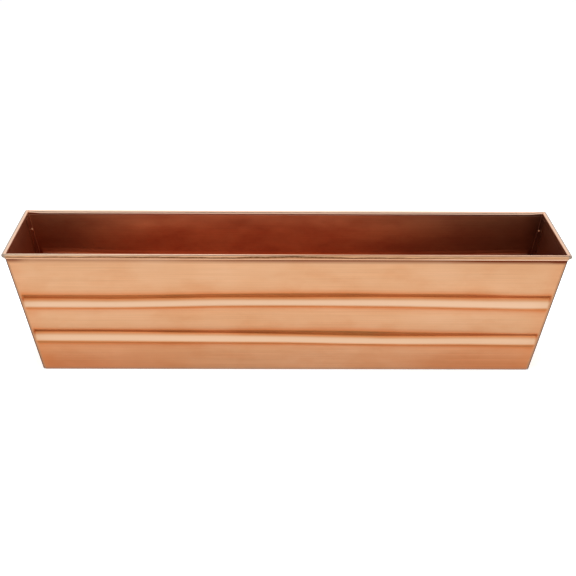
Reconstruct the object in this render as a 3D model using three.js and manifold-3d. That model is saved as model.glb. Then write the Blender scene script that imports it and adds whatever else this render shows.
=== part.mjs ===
// Window box planter: a long open trough of copper-plated sheet steel, with a wired rim.
//
// Frame: millimetres, +Z up, origin on the ground under the middle. +X runs along the length,
// the front faces -Y. Every wall leans outwards from the base to the rim.
//
// How it is made: the front and the back panel each carry two pressed grooves and fold round the
// corners into flanges, which lap inside the plain end panels and are riveted to them. The top
// edge of every panel is rolled outwards over one ring of wire and set down against the wall.
// The bottom edges turn in and carry a loose floor pan with turned-up edges.

import * as THREE from "three";
import { mergeVertices } from "three/addons/utils/BufferGeometryUtils.js";
import Module from "manifold-3d";

const wasm = await Module();
wasm.setup();
const { Manifold, Mesh: SolidMesh } = wasm;

// Overall sizes, measured outside
const RIM_LENGTH = 895;
const RIM_WIDTH = 229;
const BASE_LENGTH = 790;
const BASE_WIDTH = 183;
const HEIGHT = 206;

// Sheet and wire stock
const SHEET = 0.8;
const WIRE_DIAMETER = 4.8;

// Rolled rim, its wire a little outside the sheet's middle
const WIRE_OUTSET = 1.4;
const WIRE_CLEARANCE = 0.3;
const HEM_NECK_RADIUS = 0.8;
const HEM_TAIL = 2.2;
const HEM_TAIL_GAP = 0.3;
const MITRE_GAP = 0.3;
const WIRE_BUTT_GAP = 0.6;

// Folds, their radii measured on the inside
const CORNER_INSIDE_RADIUS = 0.7;
const BOTTOM_INSIDE_RADIUS = 0.9;
const BOTTOM_FLANGE = 12;
const BOTTOM_CORNER_RELIEF = 0.5;
const BOTTOM_LAP_STEP = 0.6;

// Lap of the long panels' corner flanges inside the end panels
const LAP_FLANGE = 25;
const LAP_GAP = 0.3;
const LAP_STEP = 1;

// Grooves pressed into the front and back panels, by the heights of their valleys
const GROOVE_HEIGHTS = [127, 62];
const GROOVE_DEPTH = 5.5;
const GROOVE_UPPER_REACH = 11;
const GROOVE_LOWER_REACH = 14;
const GROOVE_RUN_OUT = 14;

// Floor pan
const PAN_EDGE_HEIGHT = 12;
const PAN_CLEARANCE = 0.3;
const PAN_BEND_EASE = 0.5;

// Blind rivets at the corner laps, by their depth below the rim
const RIVET_DEPTHS = [30, 95, 160];
const RIVET_SHANK_DIAMETER = 3.2;
const RIVET_HOLE_CLEARANCE = 0.2;
const RIVET_HEAD_DIAMETER = 6.4;
const RIVET_HEAD_HEIGHT = 1.1;
const RIVET_TAIL_DIAMETER = 4.8;
const RIVET_TAIL_LENGTH = 2.6;
const RIVET_CORE_DIAMETER = 1.8;
const RIVET_CORE_DEPTH = 0.9;
const RIVET_SEAT_GAP = 0.2;
const DRILL_OVERRUN = 1;

// Facets
const ROLL_STEPS = 14;
const NECK_STEPS = 3;
const BEND_STEPS = 4;
const PAN_CORNER_STEPS = 2;
const GROOVE_STEPS = 10;
const RUN_OUT_STEPS = 4;
const WIRE_SIDES = 12;
const RIVET_SIDES = 14;

const hemInnerRadius = WIRE_DIAMETER / 2 + WIRE_CLEARANCE;
const hemMiddleRadius = hemInnerRadius + SHEET / 2;
const hemOuterRadius = hemInnerRadius + SHEET;
const wireHeight = HEIGHT - hemOuterRadius;
const cornerRadius = CORNER_INSIDE_RADIUS + SHEET;
const bottomRadius = BOTTOM_INSIDE_RADIUS + SHEET;

// Where the roll narrows to the wall and to the tail beside it: the centres of the two necks,
// seen from the wire's centre, x outwards and y up along the wall.
const neckMiddleRadius = HEM_NECK_RADIUS + SHEET / 2;
const tailOffset = SHEET + HEM_TAIL_GAP - WIRE_OUTSET;
const neckAt = (x) =>
  new THREE.Vector2(x, -Math.sqrt((hemMiddleRadius + neckMiddleRadius) ** 2 - x ** 2));
const tailNeck = neckAt(tailOffset + neckMiddleRadius);
const wallNeck = neckAt(-WIRE_OUTSET - neckMiddleRadius);

const copperPlate = new THREE.MeshStandardMaterial({
  color: 0xdca27c,
  roughness: 0.38,
  metalness: 1,
});
const galvanisedWire = new THREE.MeshStandardMaterial({
  color: 0x9a938c,
  roughness: 0.5,
  metalness: 1,
});

// ---------------------------------------------------------------------------
// Closed surfaces

// Skins a row of rings that all have the same number of points, and closes both ends with the
// triangles given by point number. Triangles that have shrunk to a line are left out.
function skinRings(rings, capTriangles) {
  const count = rings[0].length;
  const triangles = [];
  for (let i = 0; i + 1 < rings.length; i++) {
    for (let k = 0; k < count; k++) {
      const next = (k + 1) % count;
      triangles.push([rings[i][k], rings[i][next], rings[i + 1][next]]);
      triangles.push([rings[i][k], rings[i + 1][next], rings[i + 1][k]]);
    }
  }
  const first = rings[0];
  const last = rings[rings.length - 1];
  for (const [a, b, c] of capTriangles) {
    triangles.push([first[a], first[c], first[b]]);
    triangles.push([last[a], last[b], last[c]]);
  }
  return closedGeometry(triangles);
}

// Geometry of a closed body from its triangles, with the faces turned outwards.
function closedGeometry(triangles) {
  const same = 1e-4;
  const kept = triangles.filter(
    ([a, b, c]) =>
      a.distanceTo(b) > same && b.distanceTo(c) > same && c.distanceTo(a) > same,
  );
  const volume = kept.reduce(
    (sum, [a, b, c]) => sum + a.dot(new THREE.Vector3().crossVectors(b, c)) / 6,
    0,
  );
  const points = kept.flatMap(([a, b, c]) => (volume > 0 ? [a, b, c] : [a, c, b]));
  return new THREE.BufferGeometry().setFromPoints(points);
}

// Fan of triangles over a convex ring of points.
function fanTriangles(count) {
  return Array.from({ length: count - 2 }, (_, i) => [0, i + 1, i + 2]);
}

// Triangles over a strip whose ring runs up one side and back down the other.
function stripTriangles(count) {
  const triangles = [];
  for (let i = 0; i + 1 < count / 2; i++) {
    const across = count - 1 - i;
    triangles.push([i, i + 1, across - 1], [i, across - 1, across]);
  }
  return triangles;
}

function solidOf(geometry) {
  const bare = new THREE.BufferGeometry();
  const loose = geometry.index ? geometry.toNonIndexed() : geometry;
  bare.setAttribute("position", loose.getAttribute("position"));
  const merged = mergeVertices(bare, 1e-4);
  return new Manifold(
    new SolidMesh({
      numProp: 3,
      vertProperties: merged.getAttribute("position").array,
      triVerts: new Uint32Array(merged.index.array),
    }),
  );
}

function geometryOf(solid) {
  const mesh = solid.getMesh();
  const geometry = new THREE.BufferGeometry();
  geometry.setAttribute(
    "position",
    new THREE.BufferAttribute(new Float32Array(mesh.vertProperties), 3),
  );
  geometry.setIndex(new THREE.BufferAttribute(new Uint32Array(mesh.triVerts), 1));
  return geometry;
}

// ---------------------------------------------------------------------------
// Walls

// A leaning wall, seen in section: u is the distance outwards from the planter's middle plane.
// Its outer face starts at the base edge and passes the wire's centre on the inside.
function leaningWall(baseHalf, rimHalf) {
  const rollCentre = new THREE.Vector2(rimHalf - hemOuterRadius, wireHeight);
  const reach = new THREE.Vector2(rollCentre.x - baseHalf, rollCentre.y);
  const faceInset = WIRE_OUTSET - SHEET / 2;
  const lean = Math.atan2(reach.x, reach.y) - Math.asin(faceInset / reach.length());
  return {
    baseHalf,
    rollCentre,
    lean,
    up: new THREE.Vector2(Math.sin(lean), Math.cos(lean)),
    outward: new THREE.Vector2(Math.cos(lean), -Math.sin(lean)),
    outerFace: (z) => baseHalf + z * Math.tan(lean),
    innerFace: (z) => baseHalf + z * Math.tan(lean) - SHEET / Math.cos(lean),
  };
}

const longWall = leaningWall(BASE_WIDTH / 2, RIM_WIDTH / 2);
const endWall = leaningWall(BASE_LENGTH / 2, RIM_LENGTH / 2);

// Distance from an end wall's outer face in to the outer face of the flange that laps it.
const lapInset = (SHEET + LAP_GAP) / Math.cos(endWall.lean);

// Levels where the corner changes from the lap to the mitred rim.
const hemEdgeHeight = wireHeight + tailNeck.y - HEM_TAIL;
const mitreStart = hemEdgeHeight - LAP_STEP;
const mitreFoot = mitreStart - LAP_STEP;
const lapTop = mitreFoot - LAP_STEP;

function arcPoints(centre, radius, fromAngle, toAngle, steps) {
  return Array.from({ length: steps + 1 }, (_, i) => {
    const angle = fromAngle + ((toAngle - fromAngle) * i) / steps;
    return new THREE.Vector2(
      centre.x + radius * Math.cos(angle),
      centre.y + radius * Math.sin(angle),
    );
  });
}

// Middle line of the sheet over the rim: up the set-down tail, through its neck, over the wire
// and through the neck on the inside to the wall.
function rolledRimLine(wall) {
  const wire = new THREE.Vector2();
  const tailEnd = (hemEdgeHeight - wireHeight) / Math.cos(wall.lean);
  const rollStart = tailNeck.angle() - 2 * Math.PI;
  const rollEnd = wallNeck.angle();
  const line = [
    new THREE.Vector2(tailOffset, tailEnd),
    ...arcPoints(tailNeck, neckMiddleRadius, Math.PI, rollStart + Math.PI, NECK_STEPS),
    ...arcPoints(wire, hemMiddleRadius, rollStart, rollEnd, ROLL_STEPS).slice(1),
    ...arcPoints(wallNeck, neckMiddleRadius, rollEnd - Math.PI, 0, NECK_STEPS).slice(1),
  ];
  return line.map((p) =>
    wall.rollCentre.clone().addScaledVector(wall.outward, p.x).addScaledVector(wall.up, p.y),
  );
}

// Middle line of the bottom fold, from the wall round to the tip of the turned-in flange.
function bottomFoldLine(wall) {
  const radius = bottomRadius - SHEET / 2;
  const z = SHEET / 2 + radius;
  const centre = new THREE.Vector2(
    wall.outerFace(z) - bottomRadius / Math.cos(wall.lean),
    z,
  );
  return [
    ...arcPoints(centre, radius, -wall.lean, -Math.PI / 2, BEND_STEPS),
    new THREE.Vector2(wall.baseHalf - BOTTOM_FLANGE, SHEET / 2),
  ];
}

// How far a groove sets the wall in at height z, where it is at its full depth.
function grooveDepthAt(z) {
  return GROOVE_HEIGHTS.reduce((depth, valley) => {
    const away = Math.abs(z - valley) / (z > valley ? GROOVE_UPPER_REACH : GROOVE_LOWER_REACH);
    return away < 1 ? depth + (GROOVE_DEPTH * (1 + Math.cos(Math.PI * away))) / 2 : depth;
  }, 0);
}

// Heights of the wall's rows of points, top to bottom, down to just above its foot.
function wallHeights(isGrooved, foot) {
  const grooveRows = GROOVE_HEIGHTS.flatMap((valley) =>
    Array.from({ length: GROOVE_STEPS + 1 }, (_, i) => {
      const away = 1 - (2 * i) / GROOVE_STEPS;
      return valley + away * (away > 0 ? GROOVE_UPPER_REACH : GROOVE_LOWER_REACH);
    }),
  );
  const rows = [mitreStart, mitreFoot, lapTop, ...(isGrooved ? grooveRows : [])];
  const above = rows.filter((z) => z > foot && z <= mitreStart);
  return [...above.sort((a, b) => b - a), foot];
}

// The whole section of a panel as rows, each with the points on the sheet's two faces and the
// zone that says how the row ends at the corners.
function panelRows(wall, isGrooved) {
  const middleAt = (z) => new THREE.Vector2(wall.outerFace(z) - SHEET / 2 / wall.up.y, z);
  const zoneOf = (z) => {
    if (z >= mitreStart) return "rim";
    return z >= mitreFoot ? "mitreFoot" : "wall";
  };
  const fold = bottomFoldLine(wall);
  const heights = wallHeights(isGrooved, fold[0].y + BOTTOM_LAP_STEP);
  const line = [
    ...rolledRimLine(wall).map((point) => ({ point, zone: "rim" })),
    ...heights.map((z) => ({ point: middleAt(z), zone: zoneOf(z) })),
    { point: fold[0], zone: "mitreFoot" },
    ...fold.slice(1).map((point) => ({ point, zone: "floor" })),
  ];
  return line.map(({ point, zone }, i) => {
    const before = line[Math.max(i - 1, 0)].point;
    const after = line[Math.min(i + 1, line.length - 1)].point;
    const along = after.clone().sub(before).normalize();
    const across = new THREE.Vector2(along.y, -along.x).multiplyScalar(SHEET / 2);
    const groove = isGrooved && zone === "wall" ? grooveDepthAt(point.y) : 0;
    return {
      faces: [point.clone().add(across), point.clone().sub(across)],
      zone,
      groove,
    };
  });
}

// Columns of points along a panel, from its left edge to its right edge. Each says how far it is
// round the corner bend (turn, 0 to 1), past the bend (past) or in from it (inset).
function panelColumns(isLong) {
  const turns = Array.from({ length: BEND_STEPS }, (_, i) => (i + 1) / BEND_STEPS);
  const insets = isLong
    ? Array.from({ length: RUN_OUT_STEPS + 1 }, (_, i) => (GROOVE_RUN_OUT * i) / RUN_OUT_STEPS)
    : [0];
  const half = [
    ...insets.toReversed().map((inset) => ({ turn: 0, past: 0, inset })),
    ...turns.map((turn) => ({ turn, past: 0, inset: 0 })),
    ...(isLong ? [{ turn: 1, past: LAP_FLANGE, inset: 0 }] : []),
  ];
  const left = half.toReversed().map((column) => ({ ...column, side: -1 }));
  return [...left, ...half.map((column) => ({ ...column, side: 1 }))];
}

// How far each zone of a panel follows the bend round the corner. An end panel's wall stops at
// the bend, outside the flange of the long panel. What lies inside the bend's centre is cut
// straight instead, this far short of the mitre between the two panels.
const mitreTurn = Math.PI / 4;
const mitreInset = MITRE_GAP / 2 / Math.sin(mitreTurn);
const cornerTurns = {
  long: { rim: mitreTurn, mitreFoot: mitreTurn, wall: Math.PI / 2, floor: 0 },
  end: { rim: mitreTurn, mitreFoot: 0, wall: 0, floor: 0 },
};

// Places one point of a row in a column: along is measured along the panel, u outwards from it.
function placePoint(face, row, column, wall, crossWall, isLong) {
  const { x: faceU, y: z } = face;
  const isLapped = isLong && row.zone !== "rim";
  const bendU = wall.outerFace(z) - cornerRadius;
  const bendAlong = crossWall.outerFace(z) - cornerRadius - (isLapped ? lapInset : 0);
  const fullTurn = cornerTurns[isLong ? "long" : "end"][row.zone];

  if (row.zone === "floor") {
    const mitre = BOTTOM_CORNER_RELIEF + Math.max(wall.outerFace(z) - faceU, 0);
    return { along: bendAlong - Math.max(column.inset, mitre), u: faceU };
  }
  const isMitred = fullTurn === mitreTurn;
  const radius = faceU - bendU;
  if (isMitred && radius < mitreInset) {
    return { along: bendAlong - Math.max(column.inset, mitreInset - radius), u: faceU };
  }
  if (column.turn === 0 || fullTurn === 0) {
    const runOut = Math.min(column.inset / GROOVE_RUN_OUT, 1);
    const pressed = (row.groove * (1 - Math.cos(Math.PI * runOut))) / 2;
    return { along: bendAlong - column.inset, u: faceU - pressed };
  }
  const gapTurn = isMitred ? Math.asin(MITRE_GAP / 2 / radius) : 0;
  const turn = column.turn * (fullTurn - gapTurn);
  const past = isMitred ? 0 : column.past;
  return {
    along: bendAlong + radius * Math.sin(turn),
    u: bendU + radius * Math.cos(turn) - past,
  };
}

// A panel facing -Y, before any rivet holes, at its own place in front of the middle.
function panelGeometry(wall, crossWall, isLong) {
  const rows = panelRows(wall, isLong);
  const rings = panelColumns(isLong).map((column) => {
    const place = (face, row) => {
      const { along, u } = placePoint(face, row, column, wall, crossWall, isLong);
      return new THREE.Vector3(column.side * along, -u, face.y);
    };
    const firstFace = rows.map((row) => place(row.faces[0], row));
    const secondFace = rows.map((row) => place(row.faces[1], row));
    return [...firstFace, ...secondFace.reverse()];
  });
  return skinRings(rings, stripTriangles(2 * rows.length));
}

// ---------------------------------------------------------------------------
// Rivets

// Where each rivet goes: its corner, and the frame of the end wall's outer face at the rivet.
const rivetPlaces = ["left", "right"].flatMap((end) =>
  ["front", "back"].flatMap((side) =>
    RIVET_DEPTHS.map((depth, i) => {
      const z = HEIGHT - depth;
      const endSign = end === "left" ? -1 : 1;
      const sideSign = side === "front" ? -1 : 1;
      const y = longWall.outerFace(z) - cornerRadius - LAP_FLANGE / 2;
      return {
        end,
        side,
        name: `rivet_${side}_${end}_${i + 1}`,
        point: new THREE.Vector3(endSign * endWall.outerFace(z), sideSign * y, z),
        outward: new THREE.Vector3(endSign * endWall.outward.x, 0, endWall.outward.y),
      };
    }),
  ),
);

function turnToRivet(object, place) {
  object.position.copy(place.point);
  object.quaternion.setFromUnitVectors(new THREE.Vector3(0, 1, 0), place.outward);
  return object;
}

// A set blind rivet, its axis along +Y and the end panel's outer face at y = 0.
function rivetGeometry() {
  const shank = RIVET_SHANK_DIAMETER / 2;
  const head = RIVET_HEAD_DIAMETER / 2;
  const tail = RIVET_TAIL_DIAMETER / 2;
  const core = RIVET_CORE_DIAMETER / 2;
  const headSeat = RIVET_SEAT_GAP;
  const headTop = headSeat + RIVET_HEAD_HEIGHT;
  const tailSeat = -(2 * SHEET + LAP_GAP + RIVET_SEAT_GAP);
  const tailEnd = tailSeat - RIVET_TAIL_LENGTH;
  const rimShare = 0.35;
  const crownShare = 0.7;
  const profile = [
    [0, tailEnd + RIVET_CORE_DEPTH],
    [core, tailEnd + RIVET_CORE_DEPTH],
    [core, tailEnd],
    [tail * crownShare, tailEnd],
    [tail, tailEnd + RIVET_TAIL_LENGTH * rimShare],
    [tail, tailSeat - RIVET_TAIL_LENGTH * rimShare],
    [tail * crownShare, tailSeat],
    [shank, tailSeat],
    [shank, headSeat],
    [head, headSeat],
    [head, headSeat + RIVET_HEAD_HEIGHT * rimShare],
    [head * crownShare, headTop],
    [core, headTop],
    [core, headTop - RIVET_CORE_DEPTH],
    [0, headTop - RIVET_CORE_DEPTH],
  ];
  return new THREE.LatheGeometry(
    profile.map(([r, y]) => new THREE.Vector2(r, y)),
    RIVET_SIDES,
  );
}

// Cuts the rivet holes of the given places through a panel that already stands in its place.
function drillRivetHoles(geometry, places) {
  const radius = RIVET_SHANK_DIAMETER / 2 + RIVET_HOLE_CLEARANCE;
  const length = 2 * (2 * SHEET + LAP_GAP + DRILL_OVERRUN);
  const drills = places.map((place) => {
    const drill = new THREE.CylinderGeometry(radius, radius, length, RIVET_SIDES);
    const stand = turnToRivet(new THREE.Object3D(), place);
    stand.updateMatrix();
    return solidOf(drill.applyMatrix4(stand.matrix));
  });
  return geometryOf(drills.reduce((solid, drill) => solid.subtract(drill), solidOf(geometry)));
}

// ---------------------------------------------------------------------------
// Pieces

function longPanel(side) {
  const geometry = panelGeometry(longWall, endWall, true);
  if (side === "back") geometry.rotateZ(Math.PI);
  const places = rivetPlaces.filter((place) => place.side === side);
  const mesh = new THREE.Mesh(drillRivetHoles(geometry, places), copperPlate);
  mesh.name = `${side}_panel`;
  return mesh;
}

function endPanel(end) {
  const geometry = panelGeometry(endWall, longWall, false);
  geometry.rotateZ(end === "left" ? -Math.PI / 2 : Math.PI / 2);
  const places = rivetPlaces.filter((place) => place.end === end);
  const mesh = new THREE.Mesh(drillRivetHoles(geometry, places), copperPlate);
  mesh.name = `${end}_end_panel`;
  return mesh;
}

function rivet(place) {
  const mesh = turnToRivet(new THREE.Mesh(rivetGeometry(), copperPlate), place);
  mesh.name = place.name;
  return mesh;
}

// A rectangle with rounded corners at one height, counter-clockwise from above.
function roundedRectangle(halfLength, halfWidth, radius, z, steps) {
  const corners = [
    [1, 1],
    [-1, 1],
    [-1, -1],
    [1, -1],
  ];
  return corners.flatMap(([signX, signY], corner) => {
    const centre = new THREE.Vector2(
      signX * (halfLength - radius),
      signY * (halfWidth - radius),
    );
    const start = (corner * Math.PI) / 2;
    return arcPoints(centre, radius, start, start + Math.PI / 2, steps).map(
      (p) => new THREE.Vector3(p.x, p.y, z),
    );
  });
}

// The floor pan stands on the turned-in flanges, clear of the walls and of the corner laps.
function floorPan() {
  const underside = SHEET;
  const top = underside + PAN_EDGE_HEIGHT;
  const bendRadius = bottomRadius + PAN_BEND_EASE;
  const thickness = { x: SHEET / endWall.up.y, y: SHEET / longWall.up.y };
  const ringAt = (z, inset, skin) =>
    roundedRectangle(
      endWall.innerFace(z) - lapInset - PAN_CLEARANCE - inset - skin * thickness.x,
      longWall.innerFace(z) - PAN_CLEARANCE - inset - skin * thickness.y,
      cornerRadius,
      z,
      PAN_CORNER_STEPS,
    );
  const bend = (floor, radius, skin) =>
    Array.from({ length: BEND_STEPS + 1 }, (_, i) => {
      const angle = (Math.PI / 2) * (i / BEND_STEPS);
      return ringAt(floor + radius * (1 - Math.cos(angle)), radius * (1 - Math.sin(angle)), skin);
    });
  const rings = [
    ...bend(underside, bendRadius, 0),
    ringAt(top, 0, 0),
    ringAt(top, 0, 1),
    ...bend(underside + SHEET, bendRadius - SHEET, 1).reverse(),
  ];
  const mesh = new THREE.Mesh(skinRings(rings, fanTriangles(rings[0].length)), copperPlate);
  mesh.name = "floor_pan";
  return mesh;
}

// One length of wire bent to the rim's rectangle, its corners about the inner corners of the
// roll. Its ends butt in the middle of the back.
function rimWire() {
  const loop = roundedRectangle(
    endWall.rollCentre.x,
    longWall.rollCentre.x,
    hemInnerRadius,
    wireHeight,
    BEND_STEPS,
  );
  const firstCorner = loop.splice(0, BEND_STEPS + 1);
  const path = [
    new THREE.Vector3(-WIRE_BUTT_GAP / 2, longWall.rollCentre.x, wireHeight),
    ...loop,
    ...firstCorner,
    new THREE.Vector3(WIRE_BUTT_GAP / 2, longWall.rollCentre.x, wireHeight),
  ];
  const up = new THREE.Vector3(0, 0, 1);
  const rings = path.map((point, i) => {
    const before = path[Math.max(i - 1, 0)];
    const after = path[Math.min(i + 1, path.length - 1)];
    const arriving = point.clone().sub(before).normalize();
    const leaving = after.clone().sub(point).normalize();
    const along = arriving.clone().add(leaving).normalize();
    const across = new THREE.Vector3().crossVectors(up, along);
    const stretch = i > 0 && i + 1 < path.length ? 1 / along.dot(leaving) : 1;
    return Array.from({ length: WIRE_SIDES }, (_, k) => {
      const angle = (2 * Math.PI * k) / WIRE_SIDES;
      return point
        .clone()
        .addScaledVector(across, (stretch * Math.cos(angle) * WIRE_DIAMETER) / 2)
        .addScaledVector(up, (Math.sin(angle) * WIRE_DIAMETER) / 2);
    });
  });
  const mesh = new THREE.Mesh(skinRings(rings, fanTriangles(WIRE_SIDES)), galvanisedWire);
  mesh.name = "rim_wire";
  return mesh;
}

const planter = new THREE.Group();
planter.add(longPanel("front"), longPanel("back"), endPanel("left"), endPanel("right"));
planter.add(floorPan(), rimWire(), ...rivetPlaces.map(rivet));

export default planter;
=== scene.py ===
"""A long copper window box: four leaning sheet walls with a wired rim, two pressed grooves in the
front and the back, a floor pan and the rivets of the corner laps.

Sizes are in millimetres and are turned into metres where a mesh is made. Each wall is built as a
section of the sheet, seen along the wall, which is carried along the wall in columns and round
the corner bends. The sheet has two faces: face 0 runs over the outside of the rolled rim and down
the inside of the wall, and face 1 lies round the wire and on the outside of the wall."""

import math

import bmesh
import bpy
from mathutils import Matrix, Vector, noise


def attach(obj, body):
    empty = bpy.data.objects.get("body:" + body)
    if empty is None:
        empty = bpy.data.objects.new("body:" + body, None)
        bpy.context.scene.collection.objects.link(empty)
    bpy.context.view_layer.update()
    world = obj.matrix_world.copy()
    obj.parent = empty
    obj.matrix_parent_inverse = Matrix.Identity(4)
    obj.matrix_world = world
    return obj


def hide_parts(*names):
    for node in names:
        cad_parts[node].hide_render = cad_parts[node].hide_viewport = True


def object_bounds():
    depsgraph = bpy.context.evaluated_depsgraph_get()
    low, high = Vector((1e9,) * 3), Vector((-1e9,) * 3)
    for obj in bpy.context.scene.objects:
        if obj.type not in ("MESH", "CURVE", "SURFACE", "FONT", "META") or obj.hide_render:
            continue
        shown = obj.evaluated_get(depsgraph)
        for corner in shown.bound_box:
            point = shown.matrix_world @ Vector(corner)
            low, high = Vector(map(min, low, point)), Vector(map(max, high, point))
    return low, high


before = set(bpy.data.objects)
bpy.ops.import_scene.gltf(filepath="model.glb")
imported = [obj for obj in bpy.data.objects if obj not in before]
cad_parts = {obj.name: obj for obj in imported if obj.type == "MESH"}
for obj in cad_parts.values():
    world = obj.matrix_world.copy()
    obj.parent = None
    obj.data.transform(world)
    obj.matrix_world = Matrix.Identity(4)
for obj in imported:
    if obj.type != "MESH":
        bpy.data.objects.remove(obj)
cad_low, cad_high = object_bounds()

MM = 0.001

# Points nearer than this are joined, and folds sharper than this many degrees keep their edge
SAME_POINT = 0.002
SHARP_FOLD = 42

# Overall sizes, measured outside: the rim's from the imported model's bounds, the base's as in the
# imported model
RIM_LENGTH = (cad_high.x - cad_low.x) / MM
RIM_WIDTH = (cad_high.y - cad_low.y) / MM
HEIGHT = (cad_high.z - cad_low.z) / MM
BASE_LENGTH = 790
BASE_WIDTH = 183

# Sheet, wire and rolled rim, its wire a little outside the sheet's middle. The back roll's inner
# side is fuller by a share of its radius and lower, but not in its last stretch to a corner
SHEET = 0.8
WIRE_DIAMETER = 4.8
WIRE_OUTSET = 1.4
WIRE_CLEARANCE = 0.3
BACK_ROLL_SWELL = 0.45
BACK_ROLL_DROP = 1.1
SWELL_RUN_OUT = 25
HEM_NECK_RADIUS = 0.8
HEM_TAIL = 1.4
HEM_TAIL_GAP = 0.3
MITRE_GAP = 0.08

# Folds and laps
CORNER_INSIDE_RADIUS = 0.7
BOTTOM_INSIDE_RADIUS = 0.9
BOTTOM_FLANGE = 12
BOTTOM_CORNER_RELIEF = 0.5
BOTTOM_LAP_STEP = 0.6
LAP_FLANGE = 25
LAP_GAP = 0.3
LAP_STEP = 0.3

# Section of a groove: height above its valley, depth of the sheet there, and its tarnish-and-light
# mark: painted shade from 1, darkened, to 2, brown, on the upper crease and flank, the valley and
# the lower crest, and a painted highlight at -1 on the upward-facing lower flank. The heights are
# for a groove whose upper crease stands CREASE_ABOVE over the valley, and its lower crest
# CREST_BELOW under it. Its bends are rounded over GROOVE_BEND either way
CREASE_ABOVE = 8.6
CREST_BELOW = 12.4
GROOVE_SECTION = [
    (26, 0, 0), (16, 0.25, 0.15), (9.6, 0.95, 1), (8.6, 1.3, 2), (6, 3, 1.9),
    (0.9, 6.3, 1.7), (0, 6.35, 1.4), (-0.9, 6.3, 1.1), (-2.6, 5.24, 0.4), (-4.4, 4.12, -0.7),
    (-6.5, 2.81, -1), (-10.5, 0.32, -1), (-12.2, -0.8, 0.8), (-12.6, -0.85, 1.6),
    (-14.2, 0, 1.1), (-18, 0.35, 0.3), (-26, 0, 0),
]
GROOVE_BEND = 0.7
GROOVE_RUN_OUT = 5

# Where a groove's crease, valley and crest run, at these stations along the wall
STATIONS = [-380, -285, -190, -95, 0, 95, 190, 285, 380]
FRONT_GROOVES = [
    ([133.2, 133.1, 134.4, 136, 137.1, 137.2, 136.3, 135.9, 134],
     [124.8, 124.3, 126, 127.4, 128, 128.8, 128.8, 128, 127.5],
     [111.7, 112, 113.6, 115.4, 116, 115.7, 114.7, 113, 111]),
    ([71.6, 71.5, 71.5, 71, 70.6, 69.8, 68, 66.5, 65],
     [66, 66.1, 64.7, 63.9, 62.1, 59.7, 58.9, 59.6, 60.3],
     [51.4, 50.9, 50.2, 49.9, 49.5, 47.7, 46.7, 46.7, 45.5]),
]
BACK_GROOVES = [
    ([132, 129, 127, 126, 126, 126, 127, 129, 132],
     [123.5, 120.3, 118.4, 117.4, 117.4, 117.4, 118.4, 120.3, 123.5],
     [111, 108, 106, 105, 105, 105, 106, 108, 111]),
    ([70, 70, 70, 70, 70, 70, 70, 70, 70],
     [61.5, 61.5, 61.5, 61.5, 61.5, 61.5, 61.5, 61.5, 61.5],
     [49, 49, 49, 49, 49, 49, 49, 49, 49]),
]

# Floor pan, with the rings of points on its flat by their inset. Their corners are nearly square
# from PAN_SQUARE_FROM on
PAN_EDGE_HEIGHT = 12
PAN_CLEARANCE = 0.3
PAN_BEND_EASE = 0.5
PAN_RINGS = (80, 55, 30, 12)
PAN_SQUARE_FROM = 4
PAN_LEAST_RADIUS = 0.5
PAN_EASE_ACROSS = 0.12
PAN_EASE_DOWN = 0.15
# The pan's darkening, and how much painted shade it takes evenly
PAN_DARKENING = 0.5
PAN_SHADE = 0.3

# Blind rivets at the corner laps, by their depth below the rim
RIVET_DEPTHS = [30, 95, 160]
RIVET_SHANK_RADIUS = 1.6
RIVET_HEAD_RADIUS = 3.2
RIVET_HEAD_HEIGHT = 1.1
RIVET_HEAD_RIM = 0.35
RIVET_CROWN_RADIUS = 1.35
RIVET_TAIL_RADIUS = 2.4
RIVET_TAIL_LENGTH = 2.6
RIVET_CORE_RADIUS = 0.9
RIVET_CORE_DEPTH = 0.9
RIVET_SEAT_GAP = 0.05
RIVET_EASE = 0.1
RIVET_BULB_WALL = 0.3
RIVET_BULB_MIDDLE = 0.55
RIVET_BULB_STEPS = 6
RIVET_LIP_ACROSS = 0.15
RIVET_LIP_DOME = 0.05
RIVET_LIP_CORE = 0.25
RIVET_SIDES = 28

HEM_INNER = WIRE_DIAMETER / 2 + WIRE_CLEARANCE
HEM_MIDDLE = HEM_INNER + SHEET / 2
HEM_OUTER = HEM_INNER + SHEET
WIRE_Z = HEIGHT - HEM_OUTER
CORNER_RADIUS = CORNER_INSIDE_RADIUS + SHEET
BOTTOM_RADIUS = BOTTOM_INSIDE_RADIUS + SHEET
TAIL_OFFSET = SHEET + HEM_TAIL_GAP - WIRE_OUTSET
NECK_MIDDLE = HEM_NECK_RADIUS + SHEET / 2


def neck_at(x):
    """Centre of a neck beside the roll, seen from the wire's centre."""
    return Vector((x, -math.sqrt((HEM_MIDDLE + NECK_MIDDLE) ** 2 - x**2)))


TAIL_NECK = neck_at(TAIL_OFFSET + NECK_MIDDLE)
WALL_NECK = neck_at(-WIRE_OUTSET - NECK_MIDDLE)
HEM_EDGE_Z = WIRE_Z + TAIL_NECK.y - HEM_TAIL
MITRE_START = HEM_EDGE_Z - LAP_STEP
MITRE_INSET = MITRE_GAP / 2 / math.sin(math.pi / 4)
LAP_TOP = MITRE_START - 2 * LAP_STEP


class Wall:
    """A leaning wall in section: u is the distance outwards from the planter's middle plane."""

    def __init__(self, base_half, rim_half):
        self.base_half = base_half
        self.roll_u = rim_half - HEM_OUTER
        reach = math.hypot(self.roll_u - base_half, WIRE_Z)
        leaning = math.atan2(self.roll_u - base_half, WIRE_Z)
        self.lean = leaning - math.asin((WIRE_OUTSET - SHEET / 2) / reach)
        self.up = Vector((math.sin(self.lean), math.cos(self.lean)))
        self.out = Vector((math.cos(self.lean), -math.sin(self.lean)))

    def outer(self, z):
        return self.base_half + z * math.tan(self.lean)

    def inner(self, z):
        return self.outer(z) - SHEET / math.cos(self.lean)


LONG_WALL = Wall(BASE_WIDTH / 2, RIM_WIDTH / 2)
END_WALL = Wall(BASE_LENGTH / 2, RIM_LENGTH / 2)
LAP_INSET = (SHEET + LAP_GAP) / math.cos(END_WALL.lean)


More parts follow.
